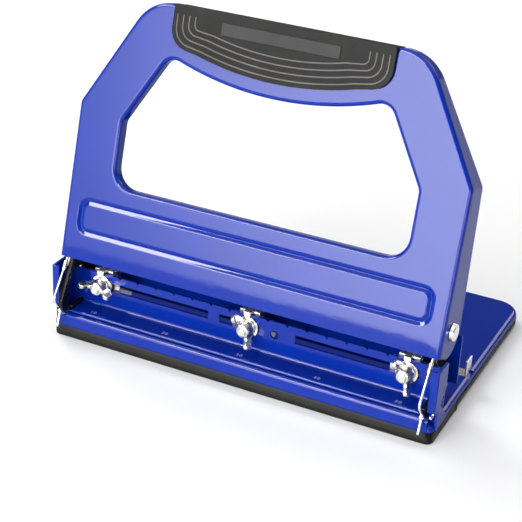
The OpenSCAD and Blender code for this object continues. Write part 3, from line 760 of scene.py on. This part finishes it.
def make_frame_plates():
    """Front panel, rear plate, end walls and the black brackets."""
    make_front_panel()
    soften("rear_plate", BLUE, [(everywhere, 0.35, 2)])
    for end in ENDS:
        outer = max(abs(corner.x) for corner in box_mm("end_wall_" + end))
        soften("end_wall_" + end, BLUE, [
            (lambda m, outer=outer: abs(abs(m.x) - outer) < 0.05 and m.y < FRONT_Y + 1, 0.9, 4),
            (everywhere, 0.25, 2),
        ])
        soften("side_bracket_" + end, BLACK_ENAMEL, [(everywhere, 0.3, 2)])


def make_digits():
    """Plain position numbers printed on the ledge."""
    for i, x in enumerate((-108, -54, 0, 54, 108)):
        curve = bpy.data.curves.new("digits", "FONT")
        curve.body = str(10 * (i + 1))
        curve.size = 3.9 * MM
        curve.space_character = 1.25
        curve.align_x = "CENTER"
        curve.extrude = 0.02 * MM
        words = bpy.data.objects.new("digits", curve)
        bpy.context.scene.collection.objects.link(words)
        bpy.context.view_layer.update()
        mesh = bpy.data.meshes.new_from_object(words.evaluated_get(bpy.context.evaluated_depsgraph_get()))
        bpy.data.objects.remove(words)
        mark = bpy.data.objects.new("scale_mark_%d" % (i + 1), mesh)
        bpy.context.scene.collection.objects.link(mark)
        mark.location = Vector((x, FRONT_Y + 7.6, LEDGE_Z + 0.03)) * MM
        finish_piece(mark, "frame", INK)


# ---- clamps, springs and other fittings ----

def lathe(bm, profile, steps=32):
    """Turns a closed (radius, along) profile about -Y."""
    rings = []
    for k in range(steps):
        a = 2 * math.pi * k / steps
        rings.append([bm.verts.new(Vector((r * math.cos(a), -y, r * math.sin(a)))) for r, y in profile])
    count = len(profile)
    for one, two in zip(rings, rings[1:] + rings[:1]):
        for k in range(count):
            j = (k + 1) % count
            bm.faces.new((one[k], two[k], two[j], one[j]))


def make_wing_nut(side, turn):
    """Cast nut: a crowned hub and two wings that flare out and end in thick rounded tips."""
    node = "wing_nut_" + side
    screw_low, screw_high = box_mm("clamp_screw_" + side)
    centre = (screw_low + screw_high) / 2
    centre.y = box_mm(node)[1].y
    bm = bmesh.new()
    lathe(bm, [(2.3, 0), (5.6, 0), (5.7, 0.8), (5.5, 2.6), (5.2, 4.6), (4.7, 6.2), (3.9, 7.1), (2.3, 7.3)])
    wing = rounded([(2.6, 0.4, 0), (8.0, 1.6, 4), (12.3, 6.6, 2.0), (11.6, 11.4, 2.0), (7.6, 10.6, 2.2),
                    (5.6, 6.8, 3), (2.6, 6.4, 0)])
    for sign in (1, -1):
        rims = [[bm.verts.new((sign * p.x, -p.y, z)) for p in wing] for z in (-1.35, 1.35)]
        ring_faces(bm, [list(t) for t in zip(*rims)], closed=True)
        for rim in rims:
            bm.faces.new(rim)
    bmesh.ops.recalc_face_normals(bm, faces=bm.faces)
    bmesh.ops.rotate(bm, verts=bm.verts, matrix=Matrix.Rotation(-math.radians(turn), 3, "Y"))
    bmesh.ops.translate(bm, verts=bm.verts, vec=centre)
    nut = object_from(bm, node + "_cast")
    skin = nut.modifiers.new("cast", "REMESH")
    skin.mode = "VOXEL"
    skin.voxel_size = 0.32 * MM
    skin.use_smooth_shade = True
    relax = nut.modifiers.new("soft", "SMOOTH")
    relax.factor = 0.5
    relax.iterations = 7
    finish_piece(nut, "nut_" + side, CAST, [node])


def make_return_spring(end):
    """Torsion spring: coil round the pivot, long bent leg with a stop bead near its foot."""
    side = -1 if end == "left" else 1
    leg_x = 126.9
    wire = 0.8
    turns = 1.125
    coil_r = 6.35
    start = math.radians(144.4)
    leg = [(11.9, 60), (4.9, 50.2), (-2.3, 40.4), (-7.2, 33.6), (-8.2, 31.2), (-7.8, 28.6), (-5.9, 25.8),
           (-3, 22.6), (-2, 20.2), (-2.6, 17.6), (-4.2, 13.4), (-5.8, 9.2)]
    bm = bmesh.new()
    steps = 40
    coil = []
    for k in range(steps, 0, -1):
        turn = turns * k / steps
        a = start + 2 * math.pi * turn
        coil.append(Vector((side * (leg_x + 2.08 * wire * turn), PIVOT_Y + coil_r * math.cos(a),
                            PIVOT_Z + coil_r * math.sin(a))))
    coil.append(Vector((side * leg_x, PIVOT_Y + coil_r * math.cos(start),
                        PIVOT_Z + coil_r * math.sin(start))))
    leg_points = spline([Vector((side * leg_x, FRONT_Y + y, z)) for y, z in leg], 5)
    tube(bm, coil + leg_points, wire, 12)
    # Bead at the foot and sleeve near the top
    bead_at = Vector((side * leg_x, FRONT_Y - 2.1, 19.4))
    bead = [bead_at + Vector((0, 0.15, 0.6)) * (k / 6 - 1) * 2.6 for k in range(13)]
    tube(bm, bead, [max(0.3, 1.75 * math.sqrt(max(0.0, 1 - (k / 6 - 1) ** 2))) for k in range(13)], 14)
    sleeve = [Vector((side * leg_x, FRONT_Y + 4.9 - 0.72 * t, 50.2 - t))
              for t in (-2.6, -2.2, -1, 1, 2.8, 3.2)]
    tube(bm, sleeve, [0.9, 1.3, 1.4, 1.4, 1.3, 0.9], 14)
    bmesh.ops.recalc_face_normals(bm, faces=bm.faces)
    node = "return_spring_" + end
    piece = object_from(bm, node + "_wire")
    finish_piece(piece, "frame", WIRE, [node])


def make_pin_spring(side):
    """Compression spring of round wire with closed ends, carried by its punch head."""
    node = "pin_spring_" + side
    low, high = box_mm(node)
    centre = (low + high) / 2
    wire, coil_r, turns, steps = 0.5, 4.7, 5, 24
    bottom, top = low.z + wire, high.z - wire
    path = []
    for k in range(turns * steps + 1):
        a = 2 * math.pi * k / steps
        rise = (1 - math.cos(math.pi * k / (turns * steps))) / 2 * 0.35 + k / (turns * steps) * 0.65
        path.append(Vector((centre.x + coil_r * math.cos(a), centre.y + coil_r * math.sin(a),
                            bottom + (top - bottom) * rise)))
    bm = bmesh.new()
    tube(bm, path, wire, 8, up=Vector((0, 0, 1)))
    bmesh.ops.recalc_face_normals(bm, faces=bm.faces)
    piece = object_from(bm, node + "_wire")
    finish_piece(piece, "head_" + side, WIRE, [node])
    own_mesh(piece)


def make_fittings():
    """Clamps, pins, springs, rivets, levers and guides."""
    for side, turn in zip(SIDES, (170, 119, 116)):
        make_wing_nut(side, turn)
        make_pin_spring(side)
        soften("clamp_washer_" + side, PLATED, [(everywhere, 0.3, 3)])
        soften("head_pointer_" + side, PLATED, [(everywhere, 0.2, 2)])
        soften("head_frame_" + side, PLATED, [(everywhere, 0.3, 2)])
        soften("clamp_screw_" + side, PLATED, [(everywhere, 0.4, 3)])
        soften("punch_pin_" + side, PLATED, [(everywhere, 0.15, 2)])
        soften("pin_clip_" + side, DARK_STEEL, [(everywhere, 0.15, 2)])
    for end in ENDS:
        make_return_spring(end)
        soften("pivot_rivet_" + end, PLATED, [
            (lambda m: abs(m.x) > HANDLE_HALF + 2, 1.1, 5), (everywhere, 0.3, 2)])
        soften("cam_lever_" + end, ROLLED, [(everywhere, 0.35, 2)])
    soften("frame_rivets", PLATED, [(everywhere, 0.3, 3)])
    soften("cam_rivets", PLATED, [(everywhere, 0.35, 3)])
    soften("guide_keepers", PLATED, [(everywhere, 0.2, 2)])
    soften("press_bar", ROLLED, [(everywhere, 0.4, 2)])
    soften("paper_guide", PLATED, [(everywhere, 0.3, 3)])


# ---- light, floor and camera ----

def lobe(tree, direction, start, end, strength):
    """Light from round a direction: none at the cosine start, all of it at the cosine end."""
    place = tree.nodes.new("ShaderNodeTexCoord")
    dot = tree.nodes.new("ShaderNodeVectorMath")
    dot.operation = "DOT_PRODUCT"
    dot.inputs[1].default_value = Vector(direction).normalized()
    fade = tree.nodes.new("ShaderNodeMapRange")
    fade.interpolation_type = "SMOOTHSTEP"
    fade.inputs["From Min"].default_value = start
    fade.inputs["From Max"].default_value = end
    fade.inputs["To Min"].default_value = 0
    fade.inputs["To Max"].default_value = strength
    tree.links.new(place.outputs["Generated"], dot.inputs[0])
    tree.links.new(dot.outputs["Value"], fade.inputs["Value"])
    return fade.outputs["Result"]


def make_studio():
    """A white studio: a bright wall in front, a soft ceiling and a dim back."""
    world = bpy.data.worlds.new("studio")
    bpy.context.scene.world = world
    world.use_nodes = True
    tree = world.node_tree
    background = tree.nodes["Background"]
    background.inputs["Color"].default_value = (1, 1, 1, 1)
    total = None
    lights = [
        lobe(tree, (-0.2, -0.95, 0.2), 0.93, 1.0, 10.0),
        lobe(tree, (-0.3, -0.95, 0.05), 0.7, 0.95, 3.2),
        lobe(tree, (0, 0, 1), 0.6, 0.9, 1.2),
    ]
    for light in lights:
        add = tree.nodes.new("ShaderNodeMath")
        add.operation = "ADD"
        if total is None:
            add.inputs[0].default_value = 0.26
        else:
            tree.links.new(total, add.inputs[0])
        tree.links.new(light, add.inputs[1])
        total = add.outputs["Value"]
    tree.links.new(total, background.inputs["Strength"])


def make_floor():
    """Wide pale floor just under the feet."""
    material, tree, bsdf = shader("studio_floor")
    blend_colours(tree, noise(tree, 3), (0.84, 0.84, 0.845), (0.87, 0.87, 0.87), bsdf.inputs["Base Color"])
    bsdf.inputs["Roughness"].default_value = 0.6
    bsdf.inputs["Specular IOR Level"].default_value = 0.2
    bm = bmesh.new()
    corners = [(-6000, -6000), (6000, -6000), (6000, 6000), (-6000, 6000)]
    bm.faces.new([bm.verts.new((x, y, -0.3)) for x, y in corners])
    floor = object_from(bm, "floor", flat=True)
    floor.data.materials.append(material)


def make_softbox(name, toward, away, wide, high, radiance, only_gloss=True):
    """A lit panel at a distance from the punch, facing it; radiance is the brightness of its face."""
    light = bpy.data.lights.new(name, "AREA")
    light.shape = "RECTANGLE"
    light.size, light.size_y = wide, high
    light.energy = math.pi * wide * high * radiance
    lamp = bpy.data.objects.new(name, light)
    target = Vector((0, 0, 0.08))
    lamp.location = target + Vector(toward).normalized() * away
    lamp.rotation_mode = "QUATERNION"
    lamp.rotation_quaternion = (target - lamp.location).to_track_quat("-Z", "Y")
    lamp.visible_diffuse = not only_gloss
    bpy.context.scene.collection.objects.link(lamp)


def make_lights():
    """One soft key, and strips that only show as reflections along the bends."""
    make_softbox("key", (-0.75, 0.3, 0.9), 1.3, 0.5, 0.5, 7, only_gloss=False)
    make_softbox("front_strip", (-0.36, -0.6, 0.72), 1.6, 1.6, 0.42, 30)
    make_softbox("right_strip", (0.62, -0.8, 0.0), 1.8, 0.3, 1.0, 16)
    make_softbox("back_strip", (0.34, 0.8, 0.42), 1.8, 1.1, 0.55, 5)


def make_camera():
    """Camera that looks down on the punch from its right front."""
    azimuth, elevation, roll = math.radians(25.138), math.radians(27.024), math.radians(2.778)
    distance = 0.8977
    aim = Vector((4.9, PIVOT_Y, 79.5)) * MM
    back = Vector((math.sin(azimuth) * math.cos(elevation), -math.cos(azimuth) * math.cos(elevation),
                   math.sin(elevation)))
    data = bpy.data.cameras.new("camera")
    data.sensor_width = 36
    data.lens = 99.9
    camera = bpy.data.objects.new("camera", data)
    camera.rotation_mode = "QUATERNION"
    turn = (-back).to_track_quat("-Z", "Y").to_matrix() @ Matrix.Rotation(roll, 3, "Z")
    camera.rotation_quaternion = turn.to_quaternion()
    camera.location = aim + back * distance
    bpy.context.scene.collection.objects.link(camera)
    bpy.context.scene.camera = camera


make_camera()
make_handle_plate()
make_grip()
make_base()
make_frame_plates()
make_digits()
make_fittings()
make_studio()
make_floor()
make_lights()
bpy.context.scene.view_settings.view_transform = "Standard"
bpy.context.view_layer.update()
